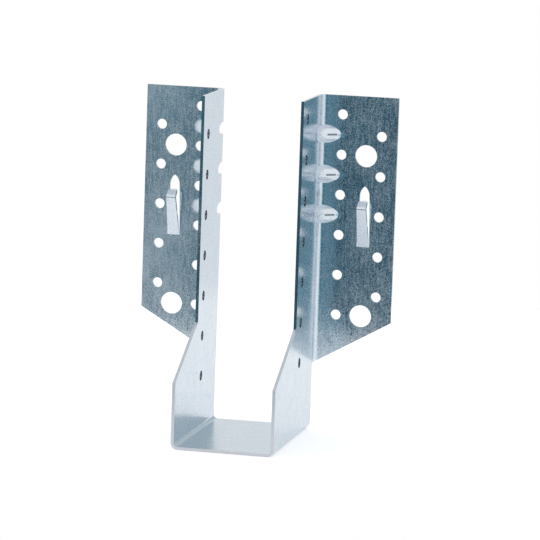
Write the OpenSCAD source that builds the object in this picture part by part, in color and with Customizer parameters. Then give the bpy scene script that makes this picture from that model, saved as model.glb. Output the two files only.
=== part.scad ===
// Face-fixed joist hanger, pierced and folded from one galvanised steel sheet.
// The seat and two side walls cradle the joist. A flange on each wall is fixed to the header.
// X runs across the joist, +Y points into the header, +Z is up.
// The origin is under the seat, midway between its front and the header.

/* [Sheet] */
// Thickness of the sheet
sheet_t = 1.5; // [1:0.1:2]
// Inside radius of the two folds beside the seat
seat_bend_r = 2; // [1:0.1:4]
// Inside radius of the fold between each wall and its flange
flange_bend_r = 2.5; // [1:0.1:4]

/* [Walls and seat] */
// Width of the joist that fits between the walls
joist_w = 48; // [40:1:100]
// Height of the walls over the underside of the seat
wall_h = 167.5; // [130:0.5:240]
// Depth of the seat, from the header to its front edge
seat_depth = 82.5; // [65:0.5:110]
// Depth of the walls over the slanted part, from the header
wall_depth = 42; // [30:0.5:60]
// Height at which the front edge of a wall starts to slant back
slant_low = 32.5; // [20:0.5:40]
// Height at which the slant reaches the narrow part of the wall
slant_high = 56; // [45:0.5:80]
// Gap between the header and the rear edges of the seat and lower walls
rear_gap = 4; // [0.5:0.1:6]

/* [Flanges] */
// Width of a flange, from the outside of its wall
flange_w = 38.5; // [34:0.5:60]
// Height of a flange's lower outer corner over the underside of the seat
flange_low = 55.5; // [50:0.5:75]
// Rise of a flange's lower edge over the horizontal, in degrees
flange_slope = 30; // [15:1:35]
// Slit that frees a flange from the wall below it
relief_gap = 1; // [0.5:0.1:2]

/* [Nail holes] */
// Diameter of a nail hole
nail_d = 5; // [3:0.1:6]
// Distance between the holes of a row
nail_pitch = 20; // [16:0.5:30]
// Distance from the top edge to the first hole of a row
nail_top = 9.5; // [6:0.5:20]
// Offset in height between neighbouring rows
nail_stagger = 10; // [5:0.5:12]
// Distance from the outside of the wall to the inner row on a flange
inner_row = 10.5; // [9:0.5:16]
// Distance from the outer edge of a flange to its outer row
outer_row = 8; // [6:0.5:12]
// Distance from the front edge of a wall to its row of holes
wall_row = 9; // [6:0.5:14]
// Least distance from a hole's centre to the lower edge of its flange
flange_foot = 10; // [6:0.5:16]
// Least height of a wall hole over the underside of the seat
wall_foot = 25; // [12:0.5:40]

/* [Bolt holes] */
// Diameter of a bolt hole
bolt_d = 11; // [8:0.5:14]
// Distance from the outside of the wall to the bolt holes and the tongue
bolt_row = 23; // [20:0.5:26]
// Distance from the top edge to the upper bolt hole
bolt_top = 29.5; // [24:0.5:40]
// Height of the lower bolt hole over the lower end of a flange's outer edge
bolt_foot = 2.5; // [0:0.5:12]

/* [Stiffening ribs] */
// Ribs pressed across each fold
rib_count = 3; // [1:1:3]
// Distance from the top edge to the first rib
rib_top = 19.5; // [15:0.5:30]
// Distance between ribs
rib_pitch = 20; // [14:0.5:30]
// Reach of a rib along the wall and along the flange, from their shared corner
rib_reach = 10.1; // [8:0.1:12]
// Radius of the arc that a rib's crest follows from the wall to the flange
rib_arc_r = 18; // [14:0.5:30]
// Radius of a rib's round section
rib_r = 4.6; // [3.5:0.1:5.5]

/* [Hammer-in tongue] */
// Place of its opening in the free length between the bolt holes, 0 at the lower one and 1 at the upper
tongue_share = 0.755; // [0.1:0.005:0.9]
// Width at the foot
tongue_foot_w = 6; // [5:0.1:8]
// Width at the shoulders, where the point begins
tongue_tip_w = 4.4; // [3:0.1:5]
// Inside radius of the tongue's folds
tongue_bend_r = 0.5; // [0.3:0.1:1]
// Length of the leaf that leans out
leaf_len = 20; // [16:0.5:24]
// Lean of the leaf out of the flange, in degrees
leaf_lean = 20.5; // [12:0.5:28]
// Length of the bevel over the leaf
bevel_len = 2.2; // [1.5:0.1:4]
// Lean of the bevel back to the flange, in degrees
bevel_lean = 50; // [30:1:70]
// Gap between the header and the tip of the point, which turns back into its opening
tip_gap = 0.1; // [0:0.1:1]
// Length of the tapered end of the point
point_taper = 4.8; // [3:0.1:5]
// Length of the opening, from the foot of the tongue to its tip
slot_len = 30.3; // [26:0.1:34]
// Clearance along each side of the tongue
tongue_gap = 0.25; // [0.1:0.05:0.6]

/* [Hidden] */
$fn = 96;

wall_x = joist_w / 2 + sheet_t;          // outside of a wall
flange_x = wall_x + flange_w;            // outer edge of a flange
bolt_x = wall_x + bolt_row;
bend_depth = sheet_t + flange_bend_r;    // where a wall's flat part ends
seam_z = flange_edge_z(wall_x - sheet_t) - relief_gap;

// The crest's arc meets both faces at this angle, which gives a rib its blunt ends.
rib_entry = acos(rib_reach / rib_arc_r / sqrt(2)) - 45;
rib_axis = rib_arc_r * cos(rib_entry);
rib_span = rib_arc_r + rib_r;

bolt_high_z = wall_h - bolt_top;
bolt_low_z = flange_low + bolt_foot;
bolt_spare = bolt_high_z - bolt_low_z - bolt_d - slot_len;
slot_z = bolt_low_z + bolt_d / 2 + tongue_share * bolt_spare;
fold_steps = 8;                          // facets on the round of a tongue's fold
// Runs of the tongue from its foot, each as its length and the turn that follows it
tongue_bends = [
    [sheet_t, leaf_lean],
    [leaf_len, -leaf_lean - bevel_lean],
    [bevel_len, bevel_lean - 90]
];
// The point is as long as its last fold stands out from the header, less the gap.
point_root = strip_face(0, tongue_bends)[len(tongue_bends) * (fold_steps + 1) - 1];
tongue_runs = concat(tongue_bends, [[-point_root[0] - tip_gap, 0]]);

far = 2 * (wall_h + seat_depth);         // longer than any cut

// Height of a flange's lower edge at a distance x from the middle
function flange_edge_z(x) = flange_low - (flange_x - x) * tan(flange_slope);

// Heights of a row of nail holes, from the first one down to the lowest that fits
function nail_heights(first, lowest) = [for (z = [first : -nail_pitch : lowest]) z];

// Unit vector to the right of a strip whose heading is turned left from straight up
function rightward(heading) = [cos(heading), sin(heading)];

// Unit vector along such a strip
function ahead(heading) = [-sin(heading), cos(heading)];

// Points along a folded strip, run by run, at an offset to the left of its right face
function strip_face(offset, runs, i = 0, at = [0, 0], heading = 0) = i == len(runs) ? [] :
    let (
        turn = runs[i][1],
        hub_x = turn > 0 ? -sheet_t - tongue_bend_r : tongue_bend_r,
        hub = at + runs[i][0] * ahead(heading) + hub_x * rightward(heading),
        steps = turn == 0 ? 0 : fold_steps
    )
    concat(
        [for (k = [0 : steps]) hub - (hub_x + offset) * rightward(heading + turn * k / fold_steps)],
        strip_face(offset, runs, i + 1, hub - hub_x * rightward(heading + turn), heading + turn)
    );

function reversed(list) = [for (i = [len(list) - 1 : -1 : 0]) list[i]];

// ---- folded channel: the seat and the foot of both walls ----

// Outline of a tub with two round lower corners
module tub(w, h, r) {
    translate([-w / 2, r]) square([w, h - r]);
    translate([r - w / 2, 0]) square([w - 2 * r, h]);
    for (side = [-1, 1]) translate([side * (w / 2 - r), r]) circle(r);
}

module channel() {
    translate([0, -rear_gap, 0]) rotate([90, 0, 0])
        linear_extrude(seat_depth - rear_gap) difference() {
            tub(2 * wall_x, seam_z, seat_bend_r + sheet_t);
            translate([0, sheet_t]) tub(joist_w, seam_z, seat_bend_r);
        }
}

// ---- one upper wall, its fold, its ribs and its flange ----

// Plan of the space in front of one face of the sheet. A depth of 0 gives the
// face in the fold's corner, and a depth of sheet_t gives the face behind it.
module corner_plan(depth) {
    r = flange_bend_r + depth;
    spare = sheet_t - depth;
    translate([wall_x - depth, -spare]) {
        translate([r, -seat_depth]) square([flange_w + spare + depth - r, seat_depth]);
        translate([0, -seat_depth]) square([flange_w + spare + depth, seat_depth - r]);
        translate([r, -r]) circle(r);
    }
}

// Ring of steel, or of the dent behind it, that makes a rib
module rib(depth) {
    translate([wall_x + rib_axis, -sheet_t - rib_axis, 0])
        rotate_extrude(angle = 90, start = 90) {
            translate([rib_span, 0]) circle(rib_r - depth);
            translate([rib_span, depth - rib_r]) square([rib_r, 2 * (rib_r - depth)]);
        }
}

module face_space(depth) {
    difference() {
        translate([0, 0, seam_z]) linear_extrude(wall_h - seam_z) corner_plan(depth);
        for (i = [0 : rib_count - 1])
            translate([0, 0, wall_h - rib_top - i * rib_pitch]) rib(depth);
    }
}

// Side view of a wall's front edge, as depth from the header and height
module wall_profile() {
    polygon([
        [0, 0], [seat_depth, 0], [seat_depth, slant_low],
        [wall_depth, slant_high], [wall_depth, wall_h], [0, wall_h]
    ]);
}

// All that lies under a flange's lower edge, in front view
module under_flange() {
    x0 = wall_x - 2 * sheet_t;
    x1 = flange_x + sheet_t;
    polygon([[x0, 0], [x1, 0], [x1, flange_edge_z(x1)], [x0, flange_edge_z(x0)]]);
}

module folded_side() {
    difference() {
        intersection() {
            difference() {
                face_space(sheet_t);
                face_space(0);
            }
            rotate([90, 0, -90]) linear_extrude(far, center = true) wall_profile();
        }
        rotate([90, 0, 0]) linear_extrude(bend_depth) under_flange();
    }
}

// ---- hammer-in tongue ----

// Pointed arch, as wide as its foot and with its foot on the X axis
module pointed_arch(w, h) {
    arc_r = (h * h + w * w / 4) / w;
    intersection() {
        translate([arc_r - w / 2, 0]) circle(arc_r);
        translate([w / 2 - arc_r, 0]) circle(arc_r);
        translate([-w / 2, 0]) square([w, h]);
    }
}

// Front view of a tapered strip
module taper(foot_w, top_w, h) {
    polygon([[-foot_w / 2, 0], [foot_w / 2, 0], [top_w / 2, h], [-top_w / 2, h]]);
}

module tongue_slot() {
    shoulder = slot_len - point_taper;
    top_w = tongue_tip_w + 2 * tongue_gap;
    rotate([90, 0, 0]) linear_extrude(far, center = true) {
        taper(tongue_foot_w + 2 * tongue_gap, top_w, shoulder);
        translate([0, shoulder]) pointed_arch(top_w, point_taper);
    }
}

module tongue() {
    back_face = concat([[0, 0]], strip_face(0, tongue_runs));
    front_face = concat([[-sheet_t, 0]], strip_face(sheet_t, tongue_runs));
    tip = back_face[len(back_face) - 1];
    top = tip[1] + sheet_t;
    translate([0, 0, -sheet_t]) difference() {
        intersection() {
            rotate([90, 0, 90]) linear_extrude(2 * tongue_foot_w, center = true)
                polygon(concat(back_face, reversed(front_face)));
            rotate([90, 0, 0]) linear_extrude(far, center = true)
                taper(tongue_foot_w, tongue_tip_w, top);
        }
        translate([0, tip[0] - point_taper, top / 2]) linear_extrude(top) difference() {
            translate([-tongue_foot_w, 0]) square([2 * tongue_foot_w, 2 * point_taper]);
            pointed_arch(tongue_tip_w, point_taper);
        }
    }
}

// ---- holes ----

// Hole through a flange
module flange_hole(x, z, d) {
    translate([x, 0, z]) rotate([90, 0, 0]) cylinder(d = d, h = 4 * sheet_t, center = true);
}

// Hole through the wall on one side, -1 or 1
module wall_hole(side, z) {
    translate([side * (wall_x - sheet_t / 2), wall_row - wall_depth, z])
        rotate([0, 90, 0]) cylinder(d = nail_d, h = 4 * sheet_t, center = true);
}

module flange_holes() {
    inner_x = wall_x + inner_row;
    outer_x = flange_x - outer_row;
    first = wall_h - nail_top;
    for (z = nail_heights(first, flange_edge_z(inner_x) + flange_foot))
        flange_hole(inner_x, z, nail_d);
    for (z = nail_heights(first - nail_stagger, flange_edge_z(outer_x) + flange_foot))
        flange_hole(outer_x, z, nail_d);
    for (z = [bolt_high_z, bolt_low_z]) flange_hole(bolt_x, z, bolt_d);
}

// The rows in the two walls are staggered, so nails from both sides miss each other.
module wall_holes() {
    first = wall_h - nail_top;
    for (z = nail_heights(first, wall_foot)) wall_hole(1, z);
    for (z = nail_heights(first - nail_stagger, wall_foot)) wall_hole(-1, z);
}

// ---- the hanger ----

module pierced_side() {
    difference() {
        folded_side();
        flange_holes();
        translate([bolt_x, 0, slot_z]) tongue_slot();
    }
    translate([bolt_x, 0, slot_z]) tongue();
}

module joist_hanger() {
    color("#9db0ba") translate([0, seat_depth / 2, 0]) difference() {
        union() {
            channel();
            pierced_side();
            mirror([1, 0, 0]) pierced_side();
        }
        wall_holes();
    }
}

joist_hanger();
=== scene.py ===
"""Looks for a face-fixed joist hanger, folded from one hot-dip galvanised steel sheet."""

import math

import bpy
from bpy.props import FloatProperty, FloatVectorProperty, PointerProperty
from mathutils import Euler, Matrix, Vector


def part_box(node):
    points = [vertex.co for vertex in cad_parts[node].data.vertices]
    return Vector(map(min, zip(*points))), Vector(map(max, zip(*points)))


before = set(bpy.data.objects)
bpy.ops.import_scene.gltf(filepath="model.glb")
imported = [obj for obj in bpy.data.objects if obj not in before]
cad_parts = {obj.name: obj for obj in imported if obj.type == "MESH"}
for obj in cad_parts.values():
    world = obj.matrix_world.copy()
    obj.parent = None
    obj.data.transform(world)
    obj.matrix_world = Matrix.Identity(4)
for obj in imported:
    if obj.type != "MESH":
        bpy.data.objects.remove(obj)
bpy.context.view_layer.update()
HANGER = "joist_hanger"

bl_info = {
    "name": "Joist hanger",
    "version": (1, 0, 0),
    "blender": (4, 5, 0),
    "location": "View3D > Sidebar > Joist hanger",
    "description": "Finish, floor, light and camera for a joist hanger of galvanised sheet",
    "category": "Object",
}

MM = 0.001
FAR = 1.0  # well past the hanger on every side
SHEET_T = 1.5 * MM
JOIST_W = 48 * MM
FOLD = SHEET_T + 3 * MM  # from a face's corner to where the sheet is flat
SKIN = 0.04 * MM  # depth under a face at which a cut edge counts as bare steel
SEAT_TOP = SHEET_T + 0.05 * MM  # height under which the zinc is duller
TORN_TO_SMOOTH = (-40 * MM, -4 * MM)  # along the joist, where cut edges are torn and where smooth

RIB_HEIGHTS = (148 * MM, 128 * MM, 108 * MM)
RIB_NOSE = 35.6 * MM  # end of a rib on its flange, from the hanger's middle
CREST_REFLECTION_LENGTH = (29.5 * MM, 33.7 * MM)  # ends of the painted dark reflection line on a crest, from the middle
CREST_REFLECTION_WIDTH = (0.75 * MM, 0.15 * MM)  # off the crest, where the line fades out and where it is full
NOSE_DIP = (4.6 * MM, 0.5 * MM)  # off the nose, where its dip ends and where it is deepest

BACK_WALL = (0.41, 0.89, 0.2)  # direction of the dimmest part of the back wall
ROOM_CLIMBS_FROM = math.radians(-12.5)  # left of this the dark room's lower end climbs
ROOM_DROPS_FROM = math.radians(4)  # right of this it drops, by a degree for each degree
ROOM_CLIMB = 1.7  # degrees that it climbs for each degree


# ---- helpers ----


def linear(hex_code):
    """A colour written as sRGB hex, as linear red, green, blue and alpha."""
    parts = [int(hex_code[i : i + 2], 16) / 255 for i in (1, 3, 5)]
    return [c / 12.92 if c <= 0.04045 else ((c + 0.055) / 1.055) ** 2.4 for c in parts] + [1.0]


def add(tree, kind, *values, **named):
    """Adds a node. Plain values go to its live inputs in order. A name with a capital is an input,
    with _ for a space, and any other is a setting. A node as a value stands for its first output."""
    node = tree.nodes.new("ShaderNode" + kind)
    for name, value in named.items():
        if name.islower():
            setattr(node, name, value)
    live = [socket for socket in node.inputs if socket.enabled]
    pairs = [(live[index], value) for index, value in enumerate(values)]
    for name, value in named.items():
        if not name.islower():
            pairs.append((node.inputs[name.replace("_", " ")], value))
    for socket, value in pairs:
        if isinstance(value, bpy.types.Node):
            value = next(output for output in value.outputs if output.enabled)
        if isinstance(value, bpy.types.NodeSocket):
            tree.links.new(value, socket)
        else:
            socket.default_value = value
    return node


def inside(tree, axes, *boxes):
    """1 inside any of the boxes and 0 outside them all. A box is its start and end on each axis,
    or None for an axis along which it has no ends."""
    in_any = 0.0
    for box in boxes:
        in_box = 1.0
        for axis, ends in zip(axes, box):
            if ends is not None:
                start, end = ends
                between = add(tree, "Math", axis, (start + end) / 2, (end - start) / 2, operation="COMPARE")
                in_box = add(tree, "Math", in_box, between, operation="MULTIPLY")
        in_any = add(tree, "Math", in_any, in_box, operation="MAXIMUM")
    return in_any


def fresh_material(name):
    material = bpy.data.materials.new(name)
    material.use_nodes = True
    material.node_tree.nodes.clear()
    return material, material.node_tree


# ---- sizes and colours ----


class JoistHangerFinish(bpy.types.PropertyGroup):
    """Zinc coat and bare edges of the sheet"""

    zinc_colour: FloatVectorProperty(
        name="Zinc",
        description="Colour of the brighter grains",
        default=linear("#e6e8ed"),
        size=4,
        min=0,
        max=1,
        subtype="COLOR",
    )
    grain_colour: FloatVectorProperty(
        name="Dark grains",
        description="Colour of the duller grains",
        default=linear("#cddce6"),
        size=4,
        min=0,
        max=1,
        subtype="COLOR",
    )
    edge_colour: FloatVectorProperty(
        name="Cut edges",
        description="Colour of the sheared edges",
        default=linear("#d3d5da"),
        size=4,
        min=0,
        max=1,
        subtype="COLOR",
    )
    # Painted shade: this darker grey in the walls' punched holes stands in for the shadow of their burrs.
    hole_shade_colour: FloatVectorProperty(
        name="Wall holes",
        description="Colour of the torn steel in the walls' holes",
        default=linear("#6a727a"),
        size=4,
        min=0,
        max=1,
        subtype="COLOR",
    )
    # Painted reflection: this dark line along each rib's crest stands in for the dark room mirrored by the
    # crest's tight curve.
    crest_reflection_colour: FloatVectorProperty(
        name="Rubbed zinc",
        description="Colour of the line along a rib's crest",
        default=linear("#747f86"),
        size=4,
        min=0,
        max=1,
        subtype="COLOR",
    )

    grain_size: FloatProperty(
        name="Grain",
        description="Width of a grain of zinc",
        default=0.42 * MM,
        min=0.2 * MM,
        max=4 * MM,
        unit="LENGTH",
    )
    streak_size: FloatProperty(
        name="Streaks",
        description="Width of a rolled streak",
        default=0.8 * MM,
        min=0.1 * MM,
        unit="LENGTH",
    )
    cloud_size: FloatProperty(
        name="Clouds",
        description="Width of a patch with more matt grains",
        default=12 * MM,
        min=0.1 * MM,
        unit="LENGTH",
    )
    dimple_size: FloatProperty(
        name="Dimples", description="Width of a shallow dimple", default=9 * MM, min=0.1 * MM, unit="LENGTH"
    )
    wave_size: FloatProperty(
        name="Waves", description="Length of a slow wave", default=40 * MM, min=0.1 * MM, unit="LENGTH"
    )

    streaks: FloatProperty(
        name="Streak weight",
        description="How much the streaks count in the mottle, against the grains",
        default=1.2,
        min=0,
    )
    clouds: FloatProperty(
        name="Cloud weight",
        description="How much the clouds count in the mottle, against the grains",
        default=0.6,
        min=0,
    )
    streak_draw: FloatProperty(
        name="Streak draw",
        description="How far the strip's rolling drew the streaks out: 1 is not at all",
        default=0.12,
        min=0,
        max=1,
        subtype="FACTOR",
    )
    dull_side: FloatProperty(
        name="Dull side",
        description="How much more matt zinc there is per metre to the left",
        default=1.0,
        min=0,
    )
    dull_seat: FloatProperty(
        name="Dull seat",
        description="Least dullness of the zinc on the seat",
        default=0.75,
        min=0,
        max=1,
        subtype="FACTOR",
    )
    matt_from: FloatProperty(
        name="First matt", description="Mottle at which grains begin to be matt", default=0.825, min=0
    )
    matt_to: FloatProperty(
        name="All matt", description="Mottle at which grains are all matt", default=2.0, min=0
    )

    gloss: FloatProperty(
        name="Smooth grains",
        description="Roughness of the rolled zinc",
        default=0.1,
        min=0,
        max=1,
        subtype="FACTOR",
    )
    matt_gloss: FloatProperty(
        name="Matt grains",
        description="Roughness of the matt zinc",
        default=0.31,
        min=0,
        max=1,
        subtype="FACTOR",
    )
    cut_gloss: FloatProperty(
        name="Smooth edges",
        description="Roughness of the sheared edges",
        default=0.12,
        min=0,
        max=1,
        subtype="FACTOR",
    )
    torn_gloss: FloatProperty(
        name="Torn edges",
        description="Roughness of the edges near the front lip",
        default=0.36,
        min=0,
        max=1,
        subtype="FACTOR",
    )

    grain_lean: FloatProperty(
        name="Grain lean",
        description="How far the grains lean from the sheet's face",
        default=0.03,
        min=0,
        max=1,
        subtype="FACTOR",
    )
    dimple_lean: FloatProperty(
        name="Dimple lean",
        description="How far the dimples turn the sheet's face",
        default=0.02,
        min=0,
        max=1,
        subtype="FACTOR",
    )
    wave_lean: FloatProperty(
        name="Wave lean",
        description="How far the slow waves turn the sheet's face",
        default=0.045,
        min=0,
        max=1,
        subtype="FACTOR",
    )
    nose_lean: FloatProperty(
        name="Rib noses",
        description="How far the sheet turns where a rib's nose drew it in",
        default=0.2,
        min=0,
        max=1,
        subtype="FACTOR",
    )


class JoistHangerStage(bpy.types.PropertyGroup):
    """Floor, light and camera"""

    azimuth: FloatProperty(
        name="Azimuth",
        description="Turn of the camera round to the right",
        default=math.radians(13.18),
        subtype="ANGLE",
    )
    elevation: FloatProperty(
        name="Elevation",
        description="Height of the camera over level",
        default=math.radians(8.6),
        subtype="ANGLE",
    )
    roll: FloatProperty(
        name="Roll", description="Tilt of the camera", default=math.radians(1.95), subtype="ANGLE"
    )
    distance: FloatProperty(
        name="Distance", description="From the camera to its target", default=1.8444, min=0, unit="LENGTH"
    )
    target: FloatVectorProperty(
        name="Target",
        description="Point that the camera looks at",
        default=(0.00146, 0.04126, 0.07787),
        subtype="TRANSLATION",
        unit="LENGTH",
    )
    lens: FloatProperty(
        name="Lens", description="Focal length", default=246.6, min=20, max=500, unit="CAMERA"
    )

    sky: FloatProperty(
        name="Surroundings", description="Strength of the light round the hanger", default=1.0, min=0
    )
    dark_colour: FloatVectorProperty(
        name="Dark front",
        description="Colour of the unlit room before the hanger",
        default=linear("#184558"),
        size=4,
        min=0,
        max=1,
        subtype="COLOR",
    )
    teal_colour: FloatVectorProperty(
        name="Dark front, ends",
        description="Colour of its left and right ends",
        default=linear("#62a0b1"),
        size=4,
        min=0,
        max=1,
        subtype="COLOR",
    )
    dim_colour: FloatVectorProperty(
        name="Back wall",
        description="Colour of the dimmer backdrop",
        default=linear("#b4c3c9"),
        size=4,
        min=0,
        max=1,
        subtype="COLOR",
    )
    overhead_colour: FloatVectorProperty(
        name="Ceiling",
        description="Colour straight overhead",
        default=linear("#d3dadf"),
        size=4,
        min=0,
        max=1,
        subtype="COLOR",
    )
    far_floor_colour: FloatVectorProperty(
        name="Far floor",
        description="Colour of the sweep beyond the floor",
        default=linear("#ebeef1"),
        size=4,
        min=0,
        max=1,
        subtype="COLOR",
    )

    card_colour: FloatVectorProperty(
        name="Floor",
        description="Colour of the white card that the hanger stands on",
        default=linear("#f4f5f6"),
        size=4,
        min=0,
        max=1,
        subtype="COLOR",
    )
    floor_width: FloatProperty(
        name="Floor width", description="Width of the card", default=2.4, min=0, unit="LENGTH"
    )
    floor_front: FloatProperty(
        name="Floor front",
        description="From the hanger to the card's front edge",
        default=0.19,
        min=0,
        unit="LENGTH",
    )
    floor_back: FloatProperty(
        name="Floor back",
        description="From the hanger to the card's rear edge",
        default=0.45,
        min=0,
        unit="LENGTH",
    )
    seen_lift: FloatProperty(
        name="Floor, seen",
        description="White added to the card where it is looked at",
        default=0.35,
        min=0,
        max=1,
        subtype="FACTOR",
    )
    mirrored_lift: FloatProperty(
        name="Floor, mirrored",
        description="White added to the card where the metal mirrors it",
        default=0.2,
        min=0,
        max=1,
        subtype="FACTOR",
    )


# ---- finish ----


class JOISTHANGER_OT_finish(bpy.types.Operator):
    """Give the sheet its hot-dip galvanised finish"""

    bl_idname = "joisthanger.finish"
    bl_label = "Galvanised finish"

    def execute(self, context):
        finish = context.scene.joist_hanger_finish
        # Hot-dip galvanised steel sheet, skin-passed between rolls. The zinc froze in small grains. Most
        # were rolled smooth and mirror the room, and some stayed matt and scatter the white round it, so
        # a dark reflection turns to salt and pepper and a white one hides it. The rolls drew faint
        # streaks along the strip. Shearing and punching bare smooth steel, a little darker than the zinc.
        # The darker grey in the walls' holes is painted shade of their burrs, and the dark line on each
        # rib's crest is a painted reflection.
        material, tree = fresh_material("hot_dip_galvanised_steel_sheet")
        place = add(tree, "TexCoord").outputs["Object"]
        across, along, height = add(tree, "SeparateXYZ", place).outputs
        out = add(tree, "Math", across, operation="ABSOLUTE")
        axes = (out, along, height)
        # Real grains are near 0.3 mm across. They are drawn at grain_size, or they would not show.
        grains = add(tree, "TexVoronoi", Vector=place, Scale=1 / finish.grain_size).outputs["Color"]
        off_rib = self.off_rib(tree, height)

        matt = self.matt_zinc(tree, finish, place, across, grains)
        zinc = add(tree, "Mix", matt, finish.zinc_colour, finish.grain_colour, data_type="RGBA")
        # Painted reflection: a dark line along each rib's crest.
        crest_reflection = self.painted_crest_reflection(tree, axes, off_rib)
        zinc = add(tree, "Mix", crest_reflection, zinc, finish.crest_reflection_colour, data_type="RGBA")
        # Painted shade: the bare steel in the walls' holes is mixed darker.
        holes = self.shaded_wall_holes(tree, axes)
        steel = add(tree, "Mix", holes, finish.edge_colour, finish.hole_shade_colour, data_type="RGBA")
        bare = self.cut_edges(tree, axes)
        surface = add(tree, "Mix", bare, zinc, steel, data_type="RGBA")

        # The seat was pressed flat on the die and came out duller all over.
        seat = add(tree, "Math", height, SEAT_TOP, operation="LESS_THAN")
        seat = add(tree, "Math", seat, finish.dull_seat, operation="MULTIPLY")
        dull = add(tree, "Math", matt, seat, operation="MAXIMUM")
        coat = add(tree, "Mix", dull, finish.gloss, finish.matt_gloss, data_type="FLOAT")
        # The shear left the long straight edges smooth, and tore them more towards the front lip.
        cut = add(tree, "MapRange", along, *TORN_TO_SMOOTH, finish.torn_gloss, finish.cut_gloss)
        rough = add(tree, "Mix", bare, coat, cut, data_type="FLOAT")

        normal = self.uneven_face(tree, finish, place, grains)
        drawn_in = self.rib_noses(tree, finish, out, across, off_rib)
        normal = add(tree, "VectorMath", normal, drawn_in, operation="ADD")
        normal = add(tree, "VectorMath", normal, operation="NORMALIZE")
        shader = add(tree, "BsdfPrincipled", Base_Color=surface, Metallic=1.0, Roughness=rough, Normal=normal)
        add(tree, "OutputMaterial", Surface=shader)
        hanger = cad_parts[HANGER]
        hanger.data.materials.clear()
        hanger.data.materials.append(material)
        return {"FINISHED"}

    def matt_zinc(self, tree, finish, place, across, grains):
        """Share of matt zinc, from the grains, the rolled streaks and slow clouds."""
        tone = add(tree, "SeparateColor", grains).outputs["Red"]
        drawn = add(tree, "Mapping", Vector=place, Scale=(1.0, 1.0, finish.streak_draw))
        streaks = add(tree, "TexNoise", Vector=drawn, Scale=1 / finish.streak_size, Detail=3.0)
        clouds = add(tree, "TexNoise", Vector=place, Scale=1 / finish.cloud_size, Detail=3.0)
        mottle = add(tree, "Math", streaks, finish.streaks, tone, operation="MULTIPLY_ADD")
        mottle = add(tree, "Math", clouds, finish.clouds, mottle, operation="MULTIPLY_ADD")
        # One side of the strip froze duller.
        mottle = add(tree, "Math", across, -finish.dull_side, mottle, operation="MULTIPLY_ADD")
        return add(tree, "MapRange", mottle, finish.matt_from, finish.matt_to)

    def uneven_face(self, tree, finish, place, grains):
        """Normal of thin sheet, which is never quite flat: slow waves over its faces, shallow
        dimples from the rolls, and each grain's own small lean."""
        waves = add(tree, "TexNoise", Vector=place, Scale=1 / finish.wave_size, Detail=1.0)
        dimples = add(tree, "TexNoise", Vector=place, Scale=1 / finish.dimple_size, Detail=1.0)
        normal = add(tree, "NewGeometry").outputs["Normal"]
        for field, lean in (
            (waves.outputs["Color"], finish.wave_lean),
            (dimples.outputs["Color"], finish.dimple_lean),
            (grains, finish.grain_lean),
        ):
            turn = add(tree, "VectorMath", field, (0.5, 0.5, 0.5), operation="SUBTRACT")
            turn = add(tree, "VectorMath", turn, lean, operation="SCALE")
            normal = add(tree, "VectorMath", normal, turn, operation="ADD")
        return normal

    def off_rib(self, tree, height):
        """Height over or under the nearest rib."""
        nearest = FAR
        for rib in RIB_HEIGHTS:
            off = add(tree, "Math", height, rib, operation="SUBTRACT")
            off = add(tree, "Math", off, operation="ABSOLUTE")
            nearest = add(tree, "Math", nearest, off, operation="MINIMUM")
        return nearest

    def painted_crest_reflection(self, tree, axes, off_rib):
        """Share of the painted dark reflection, standing in for the dark room mirrored by the crest's tight
        curve: 1 along the flange end of each rib's crest.
        """
        crest = add(tree, "MapRange", off_rib, *CREST_REFLECTION_WIDTH, interpolation_type="SMOOTHSTEP")
        flange_end = inside(tree, axes, (CREST_REFLECTION_LENGTH, None, None))
        return add(tree, "Math", crest, flange_end, operation="MULTIPLY")

    def rib_noses(self, tree, finish, out, across, off_rib):
        """Lean of the flanges just past each rib's nose, where pressing the rib drew the sheet in."""
        beyond = add(tree, "Math", out, RIB_NOSE, operation="SUBTRACT")
        off = add(tree, "CombineXYZ", X=beyond, Z=off_rib)
        off = add(tree, "VectorMath", off, operation="LENGTH")
        dip = add(tree, "MapRange", off, *NOSE_DIP, 0.0, finish.nose_lean, interpolation_type="SMOOTHSTEP")
        side = add(tree, "Math", across, operation="SIGN")
        dip = add(tree, "Math", dip, side, operation="MULTIPLY")
        past = add(tree, "Math", beyond, 0.0, operation="GREATER_THAN")
        dip = add(tree, "Math", dip, past, operation="MULTIPLY")
        return add(tree, "CombineXYZ", X=dip)

    def shaded_wall_holes(self, tree, axes):
        """1 behind the walls' front edges, where only punched holes are bare and get their painted shade."""
        high = Vector(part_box(HANGER)[1])
        behind_edges = (1 * MM, high.y - 8 * MM)
        over_fold = (8 * MM, high.z - 1 * MM)
        return inside(tree, axes, (None, behind_edges, over_fold))

    def cut_edges(self, tree, axes):
        """1 within the sheet's thickness, on cut edges and in holes, and 0 on its faces and folds."""
        low, high = (Vector(corner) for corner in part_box(HANGER))
        wall = JOIST_W / 2
        walls = ((wall + SKIN, wall + SHEET_T - SKIN), (-FAR, high.y - FOLD), (FOLD, FAR))
        flanges = ((wall + FOLD, FAR), (high.y - SHEET_T + SKIN, high.y - SKIN), None)
        seat = ((-FAR, wall - FOLD), None, (low.z + SKIN, low.z + SHEET_T - SKIN))
        front_lip = (None, (-FAR, low.y + SKIN), None)
        top = (None, None, (high.z - SKIN, FAR))
        return inside(tree, axes, walls, flanges, seat, front_lip, top)


# ---- stage ----


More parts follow.
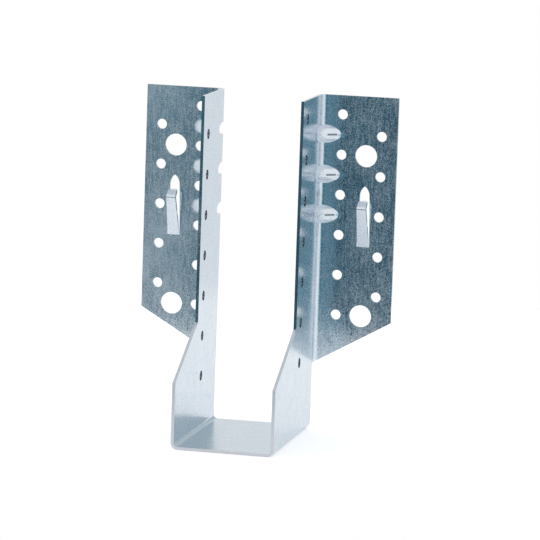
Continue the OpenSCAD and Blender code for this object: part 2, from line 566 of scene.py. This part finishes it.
class JOISTHANGER_OT_stage(bpy.types.Operator):
    """Set out the floor, the light and the camera"""

    bl_idname = "joisthanger.stage"
    bl_label = "Stage"

    def execute(self, context):
        stage = context.scene.joist_hanger_stage
        self.make_floor(context, stage)
        self.make_surroundings(context, stage)
        self.make_camera(context, stage)
        context.scene.view_settings.view_transform = "Standard"
        return {"FINISHED"}

    def make_floor(self, context, stage):
        bpy.ops.object.select_all(action="DESELECT")
        middle = (stage.floor_back - stage.floor_front) / 2
        bpy.ops.mesh.primitive_plane_add(size=1, location=(0, middle, 0))
        floor = context.object
        floor.name = "floor"
        floor.scale = (stage.floor_width, stage.floor_front + stage.floor_back, 1)
        # White card, sprayed matt. It is lifted to the white of the background where it is looked at
        # and where the metal mirrors it, and its shadow under the hanger stays.
        material, tree = fresh_material("white_studio_card")
        paths = add(tree, "LightPath").outputs
        lift = add(tree, "Math", paths["Is Glossy Ray"], stage.mirrored_lift, operation="MULTIPLY")
        lift = add(tree, "Math", paths["Is Camera Ray"], stage.seen_lift, lift, operation="MULTIPLY_ADD")
        card = add(tree, "BsdfDiffuse", Color=stage.card_colour)
        glow = add(tree, "Emission", Color=linear("#ffffff"), Strength=lift)
        both = add(tree, "AddShader", card, glow)
        add(tree, "OutputMaterial", Surface=both)
        floor.data.materials.append(material)

    def make_surroundings(self, context, stage):
        """White all round, with a dark room in front that the flanges mirror and a dimmer back wall."""
        world = bpy.data.worlds.new("white_studio")
        context.scene.world = world
        world.use_nodes = True
        tree = world.node_tree
        tree.nodes.clear()
        white = linear("#ffffff")

        direction = add(tree, "TexCoord").outputs["Generated"]
        east, north, up = add(tree, "SeparateXYZ", direction).outputs
        ahead = add(tree, "Math", north, -1.0, operation="MULTIPLY")
        right = add(tree, "Math", east, ahead, operation="ARCTAN2")
        height = add(tree, "Math", up, operation="ARCSINE")
        # The dark room's lower end climbs to the left and drops to the right.
        left_of = add(tree, "Math", right, ROOM_CLIMBS_FROM, operation="SUBTRACT")
        left_of = add(tree, "Math", left_of, 0.0, operation="MINIMUM")
        right_of = add(tree, "Math", right, ROOM_DROPS_FROM, operation="SUBTRACT")
        right_of = add(tree, "Math", right_of, 0.0, operation="MAXIMUM")
        drop = add(tree, "Math", left_of, ROOM_CLIMB, right_of, operation="MULTIPLY_ADD")
        over_slope = add(tree, "Math", height, drop, operation="ADD")
        to_back_wall = add(tree, "VectorMath", direction, BACK_WALL, operation="DOT_PRODUCT")
        from_back_wall = add(tree, "Math", to_back_wall, operation="ARCCOSINE")

        # Each part's share is 0 at its first angle and 1 at its second, in degrees.
        edges = {
            "room_left": (right, -34, -22),
            "room_right": (right, 42, 28),
            "room_bottom": (over_slope, -26, -14),
            "room_top": (height, 9, 1),
            "teal_left": (right, -11, -24),
            "teal_right": (right, -10, 32),
            "past_back_wall": (from_back_wall, 5, 60),
            "over_horizon": (height, -6, 3),
            "ceiling": (height, 50, 75),
        }
        shares = {}
        for name, (seen_at, none, full) in edges.items():
            shares[name] = add(
                tree,
                "MapRange",
                seen_at,
                math.radians(none),
                math.radians(full),
                interpolation_type="SMOOTHSTEP",
            )
        teal = add(tree, "Math", shares["teal_left"], shares["teal_right"], operation="MAXIMUM")
        room = add(tree, "Mix", teal, stage.dark_colour, stage.teal_colour, data_type="RGBA")
        ceiling = add(tree, "Mix", shares["ceiling"], white, stage.overhead_colour, data_type="RGBA")
        above = add(tree, "Mix", shares["past_back_wall"], stage.dim_colour, ceiling, data_type="RGBA")
        studio = add(tree, "Mix", shares["over_horizon"], stage.far_floor_colour, above, data_type="RGBA")
        in_room = 1.0
        for name in ("room_left", "room_right", "room_bottom", "room_top"):
            in_room = add(tree, "Math", in_room, shares[name], operation="MULTIPLY")
        studio = add(tree, "Mix", in_room, studio, room, data_type="RGBA")
        looked_at = add(tree, "LightPath").outputs["Is Camera Ray"]
        studio = add(tree, "Mix", looked_at, studio, white, data_type="RGBA")
        light = add(tree, "Background", Color=studio, Strength=stage.sky)
        add(tree, "OutputWorld", Surface=light)

    def make_camera(self, context, stage):
        data = bpy.data.cameras.new("camera")
        camera = bpy.data.objects.new("camera", data)
        context.scene.collection.objects.link(camera)
        context.scene.camera = camera
        data.lens = stage.lens
        turn, rise = stage.azimuth, stage.elevation
        back = Vector((math.sin(turn) * math.cos(rise), -math.cos(turn) * math.cos(rise), math.sin(rise)))
        look = Euler((math.pi / 2 - rise, 0, turn)).to_matrix() @ Matrix.Rotation(stage.roll, 3, "Z")
        place = Matrix.Translation(Vector(stage.target) + back * stage.distance)
        camera.matrix_world = place @ look.to_4x4()


class JOISTHANGER_PT_panel(bpy.types.Panel):
    """Sizes, colours and steps of the joist hanger"""

    bl_label = "Joist hanger"
    bl_idname = "JOISTHANGER_PT_panel"
    bl_space_type = "VIEW_3D"
    bl_region_type = "UI"
    bl_category = "Joist hanger"

    def draw(self, context):
        for group in (context.scene.joist_hanger_finish, context.scene.joist_hanger_stage):
            box = self.layout.box()
            for name in group.__annotations__:
                box.prop(group, name)
        self.layout.operator("joisthanger.finish")
        self.layout.operator("joisthanger.stage")


CLASSES = (
    JoistHangerFinish,
    JoistHangerStage,
    JOISTHANGER_OT_finish,
    JOISTHANGER_OT_stage,
    JOISTHANGER_PT_panel,
)


def register():
    for cls in CLASSES:
        bpy.utils.register_class(cls)
    bpy.types.Scene.joist_hanger_finish = PointerProperty(type=JoistHangerFinish)
    bpy.types.Scene.joist_hanger_stage = PointerProperty(type=JoistHangerStage)


def unregister():
    del bpy.types.Scene.joist_hanger_stage
    del bpy.types.Scene.joist_hanger_finish
    for cls in reversed(CLASSES):
        bpy.utils.unregister_class(cls)


def main():
    register()
    bpy.ops.joisthanger.finish()
    bpy.ops.joisthanger.stage()


if __name__ == "__main__":
    main()
